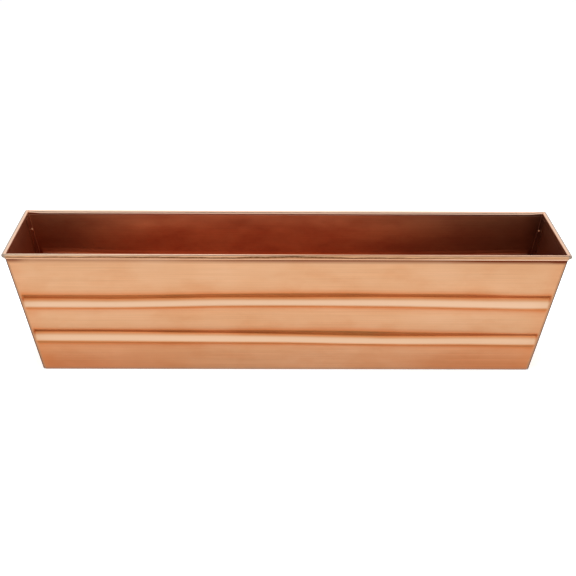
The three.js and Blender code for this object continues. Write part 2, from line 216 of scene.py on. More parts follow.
def smooth(t):
    t = min(max(t, 0.0), 1.0)
    return t * t * (3 - 2 * t)


def ripple(along, wavelength, seed):
    """A slow hand-made wander between about -1 and 1 along a sheet."""
    return 2 * noise.noise(Vector((along / wavelength, seed, 0.5)))


def arc(centre, radius, start, end, steps):
    turns = [start + (end - start) * i / steps for i in range(steps + 1)]
    return [centre + radius * Vector((math.cos(a), math.sin(a))) for a in turns]


# ---------------------------------------------------------------------------
# Sheet walls

# Steps of the bends and the roll, and the places of the points between them
BEND_STEPS = 8
ROLL_STEPS = 40
THROAT_STEPS = 6
TAIL_SHARES = (0, 0.12, 0.3, 0.6, 0.9)
FLANGE_SHARES = (0.5, 1)
LAP_SHARES = (0.1, 0.5, 0.9, 1)

# Rows of points at the hem's edge and under the rim, then the steps between the wall's rows, finer
# in the grooves
ROWS_AT_HEM_EDGE = (1, -0.4)
ROWS_BELOW_LAP = (1.2, 2.8, 4.6)
EVEN_ROWS_BELOW_LAP = 6
LOWEST_ROW = 3
GROOVED_STEP = 3
PLAIN_STEP = 5
FINE_ROWS = [(40, 78, 0.85), (100, 140, 0.85)]

# Columns near a corner by their distance from its bend, and the number of steps from the last of
# them at one corner to the last at the other
INSETS = [0, 1.2, 2.4, 4, 5.8, 8, 11, 15, 20, 27]
LONG_STEPS = 110
END_STEPS = 26

# Where round the roll its swell starts, over how much it grows, and over how much it runs out
SWELL_RISE = math.pi / 3
SWELL_START = 1.5 * SWELL_RISE
SWELL_FALL = math.pi / 4


def rolled_rim_line(wall, roll_swell, roll_drop):
    """Middle line of the sheet over the rim, each point with its zone and its angle round the
    wire, from 0 outwards over 90 at the top: up the tail, over the wire and down to the wall."""
    tail_end = (HEM_EDGE_Z - WIRE_Z) / math.cos(wall.lean)
    start = math.atan2(TAIL_NECK.y, TAIL_NECK.x)
    end = math.atan2(WALL_NECK.y, WALL_NECK.x) + 2 * math.pi
    tail = [
        Vector((TAIL_OFFSET, tail_end + (TAIL_NECK.y - tail_end) * share))
        for share in TAIL_SHARES
    ]
    neck = arc(TAIL_NECK, NECK_MIDDLE, math.pi, start + math.pi, BEND_STEPS)
    roll = arc(Vector((0, 0)), HEM_MIDDLE, start, end, ROLL_STEPS)[1:]
    throat = arc(WALL_NECK, NECK_MIDDLE, end - math.pi, 0, THROAT_STEPS)[1:]
    line = [(point, "tail", start) for point in tail]
    line += [(point, "neck", start) for point in neck]
    for i, point in enumerate(roll):
        angle = start + (end - start) * (i + 1) / ROLL_STEPS
        swell = smooth((angle - SWELL_START) / SWELL_RISE) * smooth((end - angle) / SWELL_FALL)
        swollen = Vector((point.x * (1 + roll_swell * swell), point.y - roll_drop * swell))
        line.append((swollen, "roll", angle))
    line += [(point, "throat", end) for point in throat]
    centre = Vector((wall.roll_u, WIRE_Z))
    return [
        (centre + wall.out * p.x + wall.up * p.y, zone, math.degrees(angle))
        for p, zone, angle in line
    ]


def bottom_fold_line(wall):
    radius = BOTTOM_RADIUS - SHEET / 2
    z = SHEET / 2 + radius
    centre = Vector((wall.outer(z) - BOTTOM_RADIUS / math.cos(wall.lean), z))
    tip = wall.base_half - BOTTOM_FLANGE
    bend = arc(centre, radius, -wall.lean, -math.pi / 2, BEND_STEPS)
    reach = tip - bend[-1].x
    flange = [Vector((bend[-1].x + reach * share, SHEET / 2)) for share in FLANGE_SHARES]
    return bend + flange


def at_stations(values, along):
    """A smooth curve through the values at STATIONS."""
    step = STATIONS[1] - STATIONS[0]
    place = min(max((along - STATIONS[0]) / step, 0), len(STATIONS) - 1.001)
    i = int(place)
    t = place - i
    a, b = values[i], values[i + 1]
    before = values[max(i - 1, 0)]
    after = values[min(i + 2, len(values) - 1)]
    rising, leaving = (b - before) / 2, (after - a) / 2
    curve = (2 * t**3 - 3 * t**2 + 1) * a + (t**3 - 2 * t**2 + t) * rising
    return curve + (3 * t**2 - 2 * t**3) * b + (t**3 - t**2) * leaving


def groove_section(away):
    for top, low in zip(GROOVE_SECTION, GROOVE_SECTION[1:]):
        if low[0] <= away <= top[0]:
            share = (away - low[0]) / (top[0] - low[0])
            return Vector((low[1] + (top[1] - low[1]) * share, low[2] + (top[2] - low[2]) * share))
    return Vector((0, 0))


def groove_at(z, lines, along):
    """Depth and tarnish-and-light mark of a groove at a height, with its bends rounded."""
    crease, valley, crest = (at_stations(line, along) for line in lines)
    away = z - valley
    away *= CREASE_ABOVE / (crease - valley) if away > 0 else CREST_BELOW / (valley - crest)
    near = [groove_section(away + GROOVE_BEND * k / 2) for k in (-2, -1, 0, 1, 2)]
    return sum(near, Vector((0, 0))) / len(near)


def wall_heights(is_grooved, foot):
    """Heights of the wall's rows of points, top to bottom, close together in the grooves."""
    top = LAP_TOP - EVEN_ROWS_BELOW_LAP
    rows = [HEM_EDGE_Z + away for away in ROWS_AT_HEM_EDGE]
    rows += [MITRE_START, MITRE_START - LAP_STEP, LAP_TOP]
    rows += [LAP_TOP - below for below in ROWS_BELOW_LAP]
    z = foot + LOWEST_ROW
    while z < top:
        rows.append(z)
        step = GROOVED_STEP if is_grooved else PLAIN_STEP
        for low, high, fine in FINE_ROWS:
            if is_grooved and low <= z < high:
                step = fine
        z += step
    return sorted(rows, reverse=True) + [foot]


def panel_rows(wall, is_grooved, roll_shape):
    """The section as rows: the points on both faces, the zone, and the length along the sheet."""
    fold = bottom_fold_line(wall)
    heights = wall_heights(is_grooved, fold[0].y + BOTTOM_LAP_STEP)
    middle = SHEET / 2 / math.cos(wall.lean)
    line = rolled_rim_line(wall, *roll_shape)
    for z in heights:
        zone = "wall"
        if z >= MITRE_START - LAP_STEP:
            zone = "lap_top"
        if z >= MITRE_START:
            zone = "under_rim"
        line.append((Vector((wall.outer(z) - middle, z)), zone, 0))
    line.append((fold[0], "mitre_foot", 0))
    line += [(point, "floor", 0) for point in fold[1:]]
    rows, length = [], 0.0
    for i, (point, zone, angle) in enumerate(line):
        before, after = line[max(i - 1, 0)][0], line[min(i + 1, len(line) - 1)][0]
        step = (after - before).normalized()
        across = Vector((step.y, -step.x)) * SHEET / 2
        length += (point - line[i - 1][0]).length if i else 0.0
        faces = (point + across, point - across)
        rows.append({"faces": faces, "zone": zone, "length": length, "angle": angle})
    return rows


def panel_columns(is_long):
    """Columns from the left edge to the right. Each says how far it is round the corner bend
    (turn), past the bend (past) and in from it (inset), and where it lies from -1 at the left
    corner over 0 in the middle to 1 at the right corner (share)."""
    turns = [(i + 1) / BEND_STEPS for i in range(BEND_STEPS)]
    half = [{"inset": inset, "turn": 0, "past": 0} for inset in reversed(INSETS)]
    half += [{"inset": 0, "turn": turn, "past": 0} for turn in turns]
    if is_long:
        half += [{"inset": 0, "turn": 1, "past": LAP_FLANGE * share} for share in LAP_SHARES]
    for column in half:
        column["share"] = 1
    between = LONG_STEPS if is_long else END_STEPS
    middle = [
        {"inset": INSETS[-1], "turn": 0, "past": 0, "share": 2 * i / between - 1}
        for i in range(1, between)
    ]
    left = [{**column, "share": -1} for column in reversed(half)]
    return left + middle + half


# Zones that lie in the wall's own plane, and how far each zone turns round the corner bend in a
# long wall (True) and in an end wall (False). The zones not named here meet in a mitre
FLAT_ZONES = ("under_rim", "lap_top", "wall", "mitre_foot")
FULL_TURN = {
    True: {"lap_top": math.pi / 2, "wall": math.pi / 2, "floor": 0},
    False: {"lap_top": 0, "mitre_foot": 0, "wall": 0, "floor": 0},
}
# How dark the bottom flange is on the tarnish-and-light mark
FLANGE_DARKENING = 0.6


def place_point(wall, cross_wall, is_long, row, face, column, look):
    """One point of the sheet, along the wall and u outwards from the planter's middle, and its
    tarnish-and-light mark."""
    swell = smooth(column["inset"] / SWELL_RUN_OUT)
    u, z = row["faces"][face].lerp(row["swollen"][face], swell)
    zone = row["zone"]
    is_rim = zone in ("tail", "neck", "roll", "throat", "under_rim")
    bend_u = wall.outer(z) - CORNER_RADIUS
    bend_along = cross_wall.outer(z) - CORNER_RADIUS - (LAP_INSET if is_long and not is_rim else 0)
    full_turn = FULL_TURN[is_long].get(zone, math.pi / 4)
    side = column["share"]
    if zone == "floor":
        mitre = BOTTOM_CORNER_RELIEF + max(wall.outer(z) - u, 0)
        return side * (bend_along - max(column["inset"], mitre)), u, z, FLANGE_DARKENING
    is_mitred = full_turn == math.pi / 4
    radius = u - bend_u
    if is_mitred and radius < MITRE_INSET:
        return side * (bend_along - max(column["inset"], MITRE_INSET - radius)), u, z, 0.0
    if column["turn"] == 0 or full_turn == 0:
        along = side * (bend_along - column["inset"])
        from_corner = bend_along - abs(along)
        dent, tarnish_and_painted_light = look(along, from_corner, z, zone)
        return along, u + dent, z, tarnish_and_painted_light
    gap_turn = math.asin(MITRE_GAP / 2 / radius) if is_mitred else 0
    turn = column["turn"] * (full_turn - gap_turn)
    past = 0 if is_mitred else column["past"]
    along = bend_along + radius * math.sin(turn)
    return side * along, bend_u + radius * math.cos(turn) - past, z, look(along, 0, z, zone)[1]


# Dents: depth, length and height of their noise, and the stretch from a corner where they fade.
# They also fade towards the foot and under the rim
LONG_DENTS = (1, 150, 60, 60)
END_DENTS = (0.8, 90, 70, 30)
DENT_FREE_TOP = 12
DENT_FADE = 20

# Painted light of a long wall on its tarnish-and-light mark: the creases' painted shade fades to
# the right from CREASE_FADE_FROM and varies a little, painted shade darkens the foot, and the wall
# darkens towards the ends
CREASE_FADE = 0.15
CREASE_FADE_FROM = 130
CREASE_FADE_OVER = 200
CREASE_LEVEL = 0.95
CREASE_VARIES = 0.1
CREASE_WAVE = 60
CREASE_SEED_HEIGHT = 90
FOOT_SHADE = 0.75
FOOT_SHADE_TOP = 78
FOOT_SHADE_SOFT = 70
FOOT_MIDDLE = 0.2
FOOT_GROWS = 0.8
FOOT_GROWS_FROM = 60
FOOT_GROWS_OVER = 330
EDGE_DARKENING = 0.22
EDGE_DARKENING_WIDTH = 34
EDGE_LESS_AT_FOOT = 0.5

# Painted shade of an end wall at its foot, and its darkening at its corners
END_FOOT_SHADE = 0.5
END_FOOT_HEIGHT = 60
END_EDGE_DARKENING = 0.4
END_EDGE_WIDTH = 25


def dent_at(along, from_corner, z, seed, dents):
    """How far a slight dent stands out of the sheet, or in where it is negative."""
    depth, length, height, corner_fade = dents
    below_rim = HEIGHT - DENT_FREE_TOP - z
    fade = smooth(from_corner / corner_fade) * smooth(below_rim / DENT_FADE) * smooth(z / DENT_FADE)
    return depth * fade * noise.noise(Vector((along / length, z / height, seed)))


def long_look(seed, grooves):
    """How a long wall departs from its drawing, outwards, and its tarnish-and-light mark: the
    grooves wander and carry painted shade and a painted highlight, the sheet is not flat, and it is
    darker towards the ends and, by painted shade, towards the foot."""

    def look(along, from_corner, z, zone):
        if zone not in FLAT_ZONES:
            return 0.0, 0.0
        run_out = smooth(from_corner / GROOVE_RUN_OUT)
        pressed, tarnish_and_painted_light = run_out * sum(
            (groove_at(z, lines, along) for lines in grooves), Vector((0, 0))
        )
        if tarnish_and_painted_light > 0:
            fading = 1 - CREASE_FADE * smooth((along - CREASE_FADE_FROM) / CREASE_FADE_OVER)
            varying = ripple(along, CREASE_WAVE, seed + z // CREASE_SEED_HEIGHT)
            tarnish_and_painted_light *= fading * (CREASE_LEVEL + CREASE_VARIES * varying)
        growing = smooth((abs(along) - FOOT_GROWS_FROM) / FOOT_GROWS_OVER)
        foot = smooth((FOOT_SHADE_TOP - z) / FOOT_SHADE_SOFT)
        foot *= FOOT_MIDDLE + FOOT_GROWS * growing
        edge = EDGE_DARKENING * smooth((EDGE_DARKENING_WIDTH - from_corner) / EDGE_DARKENING_WIDTH)
        tarnish_and_painted_light += FOOT_SHADE * foot + edge * (1 - EDGE_LESS_AT_FOOT * foot)
        return dent_at(along, from_corner, z, seed, LONG_DENTS) - pressed, tarnish_and_painted_light

    return look


def end_look(seed):
    """How an end wall departs from its drawing, with painted shade at its foot and darker corners.
    """

    def look(along, from_corner, z, zone):
        if zone not in FLAT_ZONES:
            return 0.0, 0.0
        foot = END_FOOT_SHADE * smooth((END_FOOT_HEIGHT - z) / END_FOOT_HEIGHT)
        edge = END_EDGE_DARKENING * smooth((END_EDGE_WIDTH - from_corner) / END_EDGE_WIDTH)
        return dent_at(along, from_corner, z, seed, END_DENTS), foot + edge

    return look


def band(value, low, high, soft):
    """1 between low and high, falling to 0 over a soft border outside them."""
    return smooth((value - low + soft) / soft) * smooth((high + soft - value) / soft)


# The front rim's stain, a brown stain with painted shade, at the stations: how far round the roll
# it lies, and how strong it is. Then how much the roll's top is rubbed, as wear with a painted
# highlight
STAIN_MIDDLE = [-20, -10, -16, -15, 10, -14, -17, -10, -8]
STAIN_AMOUNT = [0.7, 0.8, 1, 1, 1, 0.9, 0.75, 0.42, 0.2]
RUBBED_TOP = [1.9, 1.5, 1.3, 1, 0.45, 0.15, 0.2, 0.5, 0.6]

# The stain's half width and soft border in degrees, and its wander: degrees, wavelength and seed
STAIN_HALF = 19
STAIN_SOFT = 11
STAIN_WANDER = ((8, 31, 8), (6, 11, 14))

# Bands round the roll, each from one angle to another with a soft border, in degrees
FRONT_RUBBED = (42, 76, 14)
BACK_STAINED = (-30, 20, 20)
BACK_RUBBED = (60, 230, 20)
END_RUBBED = (122, 165, 20)

# How strong these are: the inside's painted shade that starts at the front roll's inner side, the
# front lip's wear with a painted highlight, the painted highlight that the lip and the neck gain to
# the right, and the painted shade in the necks
INNER_SHADE = 0.8
INNER_SHADE_FROM = 74
INNER_SHADE_SOFT = 16
TAIL_WEAR = 0.3
LIP_BRIGHT_FROM = 190
LIP_BRIGHT_OVER = 70
NECK_BRIGHT = 0.7
FRONT_NECK_SHADE = 0.2
NECK_SHADE = 0.5
BACK_STAIN = 0.4
MOTTLE = 0.4
MOTTLE_VARIES = 0.6
MOTTLE_WAVE = 24
MOTTLE_SEED = 5
END_WEAR = 0.7


def front_rim(along, angle, zone):
    """Stain and shade, wear and highlight, tarnish-and-light and the inside's painted shade of the
    front rim: a brown stain with painted shade wanders along the roll's outer side, heaviest left
    of the middle, and the top and the lip below are rubbed bright, with a painted highlight."""
    bright = smooth((along - LIP_BRIGHT_FROM) / LIP_BRIGHT_OVER)
    if zone == "tail":
        return 0.0, TAIL_WEAR, -bright, 0.0
    amount = at_stations(STAIN_AMOUNT, along)
    if zone == "neck":
        return FRONT_NECK_SHADE * amount, 0.0, -NECK_BRIGHT * bright, 0.0
    middle = at_stations(STAIN_MIDDLE, along)
    for degrees, wavelength, seed in STAIN_WANDER:
        middle += degrees * ripple(along, wavelength, seed)
    stained_and_shaded = amount * band(angle, middle - STAIN_HALF, middle + STAIN_HALF, STAIN_SOFT)
    wear_and_highlight = at_stations(RUBBED_TOP, along) * band(angle, *FRONT_RUBBED)
    return stained_and_shaded, wear_and_highlight, 0.0, INNER_SHADE * smooth((angle - INNER_SHADE_FROM) / INNER_SHADE_SOFT)


def back_rim(along, angle, zone):
    """The same four marks for the back rim, which is mottled outside, has painted shade in its
    neck, and is rubbed over its top and inner side, with a painted highlight."""
    if zone == "tail":
        return 0.0, 0.0, 0.0, 0.0
    if zone == "neck":
        return NECK_SHADE, 0.0, 0.0, 0.0
    mottle = max(MOTTLE + MOTTLE_VARIES * ripple(along, MOTTLE_WAVE, MOTTLE_SEED), 0)
    stained_and_shaded = BACK_STAIN * mottle * band(angle, *BACK_STAINED)
    return stained_and_shaded, band(angle, *BACK_RUBBED), 0.0, 0.0


def end_rim(along, angle, zone):
    """The same four marks for an end's rim, which has painted shade in its neck and is rubbed on
    its inner side, with a painted highlight.
    """
    if zone == "tail":
        return 0.0, 0.0, 0.0, 0.0
    stained_and_shaded = NECK_SHADE if zone == "neck" else 0.0
    return stained_and_shaded, END_WEAR * band(angle, *END_RUBBED), 0.0, 0.0


# Slopes along the planter, each with its amount, where it starts and over how much it grows
# Painted shade that darkens the inside towards its ends, by its slopes left and right
END_SHADE_LEFT = ((0.48, 210, 240),)
END_SHADE_RIGHT = ((0.56, 30, 400), (0.27, 400, 45))
# The painted shade under the rims' lip: its level, its slopes and how strong it is
NOOK_LEVEL = 0.4
NOOK_SLOPES = ((0.35, -260, 280), (0.35, 220, 130))
NOOK_CORNERS = ((0.4, 405, 25),)
NOOK_STRENGTH = 1.35
MOST_END_WALL_SHADE = 0.69


def climb(level, value, slopes):
    """The level after the slopes that the value has passed, each of them a smooth step."""
    steps = (amount * smooth((value - start) / over) for amount, start, over in slopes)
    return sum(steps, level)


def end_shade_at(x):
    """How much painted shade darkens the inside at a place along the planter: more towards the
    ends.
    """
    return climb(climb(0, -x, END_SHADE_LEFT), x, END_SHADE_RIGHT)


def lip_shade_at(x):
    """How dark the painted shade under a rim's lip is: it grows from left to right and at the
    corners.
    """
    return NOOK_STRENGTH * climb(climb(NOOK_LEVEL, x, NOOK_SLOPES), abs(x), NOOK_CORNERS)


def panel_mesh(name, wall, cross_wall, is_long, look, rim, turn, roll_shape=(0, 0)):
    """One folded sheet wall as a closed mesh with its two faces, its cut edges and its marks."""
    rows = panel_rows(wall, is_long, (0, 0))
    for row, swollen in zip(rows, panel_rows(wall, is_long, roll_shape)):
        row["swollen"] = swollen["faces"]
    columns = panel_columns(is_long)
    vertices, marks, sheet_uv = [], [], []
    for face in (0, 1):
        for row in rows:
            for column in columns:
                along, u, z, tarnish_and_painted_light = place_point(
                    wall, cross_wall, is_long, row, face, column, look
                )
                vertices.append(Vector((along, -u, z)) * MM)
                x = along * math.cos(turn) + u * math.sin(turn)
                marks.append(point_marks(row, face, column, along, x, tarnish_and_painted_light, rim, is_long))
                sheet_uv.append((along * MM, row["length"] * MM))
    count = len(columns)
    size = len(rows) * count
    quads = []
    for i in range(len(rows) - 1):
        for j in range(count - 1):
            a = i * count + j
            quads.append((a, a + count, a + count + 1, a + 1))
            b = a + size
            quads.append((b, b + 1, b + count + 1, b + count))
    for i in range(len(rows) - 1):
        left, right = i * count, i * count + count - 1
        quads.append((left, left + size, left + size + count, left + count))
        quads.append((right, right + count, right + size + count, right + size))
    edge_from = 2 * (len(rows) - 1) * (count - 1) if cross_wall is LONG_WALL else len(quads)
    for j in range(count - 1):
        top, foot = j, size - count + j
        quads.append((top, top + 1, top + 1 + size, top + size))
        quads.append((foot, foot + size, foot + 1 + size, foot + 1))
    mesh = bpy.data.meshes.new(name)
    mesh.from_pydata(vertices, [], quads)
    mesh.transform(Matrix.Rotation(turn, 4, "Z"))
    write_marks(mesh, marks, sheet_uv)
    for polygon in mesh.polygons[edge_from:]:
        polygon.material_index = 1
    return finish_mesh(mesh)


MARKS = ("inside", "tarnish_and_painted_light", "stain_and_shade", "wear_and_highlight", "painted_shade", "painted_end_shade", "bare")

# The inside's painted shade pales by this much under the rim, and is weaker in the throat
INSIDE_PALES = 0.2
INSIDE_PALES_FROM = 165
INSIDE_PALES_OVER = 30
THROAT_INSIDE = 0.35
END_SHADE_FILL = 1.25

# Grey steel on the roll's ends and at the foot
END_BARE = 0.85
END_BARE_LENGTH = 9
END_BARE_SOFT = 5
BARE_LOW = -80
BARE_HIGH_LONG = 68
BARE_HIGH_END = 98
BARE_SOFT = 18
FOOT_BARE = 0.35
FOOT_BARE_TOP = 3.6
FOOT_BARE_SOFT = 1.6

# Painted shade round the roll's corners, under its lip, in the corner bends and at the foot
CORNER_ROLL_SHADE = 0.5
CORNER_ROLL_SHADED = (-80, 45, 20)
LIP_SHADE_REACH = 7.5
LIP_SHADE_FROM = 0.3
BEND_SHADE = 0.8
BEND_SHADE_FROM = 0.3
BESIDE_BEND_SHADE = 0.3
BESIDE_BEND = 2
FOOT_SHADOW_LINE_TOP = 1
FOOT_SHADOW_LINE_SOFT = 0.8


def point_marks(row, face, column, along, x, tarnish_and_painted_light, rim, is_long):
    """Marks of a point, for the materials: inside the planter, which is painted darker as shade,
    the tarnish-and-light mark from -1 (a painted highlight) to 2, the rim's brown stain with
    painted shade and its wear with a painted highlight, painted shade in nooks and folds, painted
    shade towards the inside's ends, and the grey steel where the plating is rubbed through."""
    zone = row["zone"]
    z = row["faces"][face][1]
    # The inside of the sheet is painted darker and redder as shade, less so high under the rim
    inside = 0.0 if face == 1 or zone in ("tail", "neck", "roll") else 1.0
    inside *= 1 - INSIDE_PALES * smooth((z - INSIDE_PALES_FROM) / INSIDE_PALES_OVER)
    stained_and_shaded, wear_and_highlight, painted_shade, bare = 0.0, 0.0, 0.0, 0.0
    if zone in ("roll", "neck", "tail", "throat") and face == 0:
        stained_and_shaded, wear_and_highlight, tarnish_and_painted_light, inner = rim(along, row["angle"], zone)
        inside = THROAT_INSIDE if zone == "throat" else inner
        near_end = smooth((abs(x) - RIM_LENGTH / 2 + END_BARE_LENGTH) / END_BARE_SOFT)
        high = BARE_HIGH_LONG if is_long else BARE_HIGH_END
        bare = END_BARE * near_end * band(row["angle"], BARE_LOW, high, BARE_SOFT)
        # Painted shade round the roll at the mitred corners
        if column["turn"] > 0:
            painted_shade = CORNER_ROLL_SHADE * band(row["angle"], *CORNER_ROLL_SHADED)
    # Painted shade under the lip, on the corner bends and, without the edge darkening, beside them
    if face == 1 and zone in FLAT_ZONES:
        below = HEM_EDGE_Z - LIP_SHADE_FROM - z
        painted_shade = min(lip_shade_at(x) * min(max(1 - below / LIP_SHADE_REACH, 0), 1), 1)
        if column["turn"] > BEND_SHADE_FROM:
            painted_shade = max(painted_shade, BEND_SHADE)
        elif column["inset"] < BESIDE_BEND and abs(column["share"]) == 1:
            tarnish_and_painted_light, painted_shade = 0, max(painted_shade, BESIDE_BEND_SHADE)
    if face == 1:
        bare = max(bare, FOOT_BARE * smooth((FOOT_BARE_TOP - z) / FOOT_BARE_SOFT))
        # Painted contact shadow at the foot
        painted_shade = max(painted_shade, smooth((FOOT_SHADOW_LINE_TOP - z) / FOOT_SHADOW_LINE_SOFT))
    # The inside's painted shade towards its ends, less on the end walls
    painted_end_shade = min(inside * END_SHADE_FILL, 1) * min(end_shade_at(x), 1 if is_long else MOST_END_WALL_SHADE)
    return inside, tarnish_and_painted_light, stained_and_shaded, wear_and_highlight, min(painted_shade, 1), painted_end_shade, bare


def write_marks(mesh, marks, sheet_uv):
    for k, name in enumerate(MARKS):
        layer = mesh.attributes.new(name, "FLOAT", "POINT")
        layer.data.foreach_set("value", [mark[k] for mark in marks])
    uv = mesh.uv_layers.new(name="sheet")
    for loop in mesh.loops:
        uv.data[loop.index].uv = sheet_uv[loop.vertex_index]


def finish_mesh(mesh):
    """Joins the points that fall together at the mitres, and shades the folds smooth."""
    shape = bmesh.new()
    shape.from_mesh(mesh)
    bmesh.ops.remove_doubles(shape, verts=shape.verts, dist=SAME_POINT * MM)
    shape.to_mesh(mesh)
    shape.free()
    mesh.validate()
    mesh.shade_smooth()
    mesh.set_sharp_from_angle(angle=math.radians(SHARP_FOLD))
    mesh.update()
    return mesh


PAN_CORNER_STEPS = 6


def rounded_rectangle(half_length, half_width, radius, z):
    points = []
    for corner, (sign_x, sign_y) in enumerate(((1, 1), (-1, 1), (-1, -1), (1, -1))):
        centre = Vector((sign_x * (half_length - radius), sign_y * (half_width - radius)))
        start = corner * math.pi / 2
        points += arc(centre, radius, start, start + math.pi / 2, PAN_CORNER_STEPS)
    return [Vector((p.x, p.y, z)) for p in points]


def pan_mesh(name):
    """The floor pan: a flat sheet with its edges turned up along the leaning walls. Its rings run
    from the middle of the underside round the rim to the middle of the inside."""
    underside, top = SHEET, SHEET + PAN_EDGE_HEIGHT
    bend_radius = BOTTOM_RADIUS + PAN_BEND_EASE

    def ring(z, inset, skin):
        radius = PAN_LEAST_RADIUS
        if inset < PAN_SQUARE_FROM:
            radius = max(CORNER_RADIUS - skin, PAN_LEAST_RADIUS)
        return rounded_rectangle(
            END_WALL.inner(z) - LAP_INSET - PAN_CLEARANCE - inset - skin / END_WALL.up.y,
            LONG_WALL.inner(z) - PAN_CLEARANCE - inset - skin / LONG_WALL.up.y,
            radius, z,
        )

    def bend(floor, radius, skin):
        quarter = [math.pi / 2 * i / BEND_STEPS for i in range(BEND_STEPS + 1)]
        return [
            ring(floor + radius * (1 - math.cos(a)), radius * (1 - math.sin(a)), skin)
            for a in quarter
        ]

    inner_floor = underside + SHEET
    rings = [ring(underside, inset, 0) for inset in PAN_RINGS]
    rings += bend(underside, bend_radius, 0)
    rings += [ring(top - PAN_EASE_DOWN, 0, 0), ring(top, PAN_EASE_ACROSS, 0)]
    rings += [ring(top, -PAN_EASE_ACROSS, SHEET), ring(top - PAN_EASE_DOWN, 0, SHEET)]
    rings += reversed(bend(inner_floor, bend_radius - SHEET, SHEET))
    rings += [ring(inner_floor, inset, SHEET) for inset in reversed(PAN_RINGS)]
    count = len(rings[0])
    vertices = [point * MM for one in rings for point in one]
    faces = [tuple(reversed(range(count)))]
    for i in range(len(rings) - 1):
        for k in range(count):
            a, b = i * count + k, i * count + (k + 1) % count
            faces.append((a, b, b + count, a + count))
    faces.append(tuple(range(len(vertices) - count, len(vertices))))
    mesh = bpy.data.meshes.new(name)
    mesh.from_pydata(vertices, [], faces)
    inner = len(rings) // 2 * count
    marks = [
        (float(i >= inner), PAN_DARKENING, 0.0, 0.0, PAN_SHADE, end_shade_at(v.x / MM), 0.0)
        for i, v in enumerate(vertices)
    ]
    write_marks(mesh, marks, [(v.x, v.y + v.z) for v in vertices])
    return finish_mesh(mesh)


def rivet_mesh(name, end_sign, side_sign, depth):
    """A set blind rivet through the lap, with its hollow head outside and its bulb inside."""
    seat = RIVET_SEAT_GAP
    tail_seat = -(2 * SHEET + LAP_GAP + seat)
    tail_end = tail_seat - RIVET_TAIL_LENGTH
    head_edge = seat + RIVET_HEAD_RIM
    dome = [
        (RIVET_HEAD_RADIUS - (RIVET_HEAD_RADIUS - RIVET_CROWN_RADIUS) * (1 - math.cos(a)),
         head_edge + (RIVET_HEAD_HEIGHT - RIVET_HEAD_RIM) * math.sin(a))
        for a in (math.pi / 2 * i / BEND_STEPS for i in range(BEND_STEPS + 1))
    ]
    bulb_middle = tail_seat - RIVET_TAIL_LENGTH * RIVET_BULB_MIDDLE
    bulb_half = RIVET_TAIL_LENGTH * (1 - RIVET_BULB_MIDDLE)
    bulb_neck = RIVET_CORE_RADIUS + RIVET_BULB_WALL
    steps = RIVET_BULB_STEPS
    bulb = [
        (bulb_neck + (RIVET_TAIL_RADIUS - bulb_neck) * math.cos(a),
         bulb_middle + bulb_half * math.sin(a))
        for a in (math.pi / 2 * i / steps for i in range(-steps, steps + 1))
    ]
    crown = seat + RIVET_HEAD_HEIGHT
    core_top = crown - RIVET_CORE_DEPTH
    core_foot = tail_end + RIVET_CORE_DEPTH
    profile = [(0, core_foot), (RIVET_CORE_RADIUS - RIVET_EASE, core_foot)]
    profile += [(RIVET_CORE_RADIUS, core_foot - RIVET_EASE)]
    profile += [(RIVET_CORE_RADIUS, tail_end + 2 * RIVET_EASE), *bulb]
    profile += [(RIVET_SHANK_RADIUS, tail_seat), (RIVET_SHANK_RADIUS, seat)]
    profile += [(RIVET_HEAD_RADIUS - RIVET_EASE, seat), (RIVET_HEAD_RADIUS, seat + RIVET_EASE)]
    profile += dome
    profile += [(RIVET_CORE_RADIUS + RIVET_LIP_ACROSS, crown - RIVET_LIP_DOME)]
    profile += [(RIVET_CORE_RADIUS, crown - RIVET_LIP_CORE), (RIVET_CORE_RADIUS, core_top)]
    profile += [(0, core_top)]
    sides = RIVET_SIDES
    vertices, rings = [], []
    for radius, y in profile:
        first = len(vertices)
        turns = range(sides) if radius else (0,)
        vertices += [
            Vector((radius * math.cos(a), y, radius * math.sin(a)))
            for a in (2 * math.pi * k / sides for k in turns)
        ]
        rings.append([first + k % len(turns) for k in range(sides)])
    faces = []
    for low, high in zip(rings, rings[1:]):
        for k in range(sides):
            corners = (low[k], high[k], high[(k + 1) % sides], low[(k + 1) % sides])
            faces.append(tuple(dict.fromkeys(corners)))
    z = HEIGHT - depth
    place = Vector((
        end_sign * END_WALL.outer(z),
        side_sign * (LONG_WALL.outer(z) - CORNER_RADIUS - LAP_FLANGE / 2),
        z,
    ))
    outward = Vector((end_sign * END_WALL.out.x, 0, END_WALL.out.y))
    leaning = Vector((0, 1, 0)).rotation_difference(outward).to_matrix().to_4x4()
    stand = Matrix.Translation(place) @ leaning
    mesh = bpy.data.meshes.new(name)
    mesh.from_pydata([(stand @ v) * MM for v in vertices], [], faces)
    return finish_mesh(mesh)


def add_piece(name, mesh, materials, slot, *nodes):
    piece = bpy.data.objects.new(name, mesh)
    bpy.context.scene.collection.objects.link(piece)
    for material in materials:
        mesh.materials.append(material)
    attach(piece, "root")
    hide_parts(*nodes)


# ---------------------------------------------------------------------------
# Materials


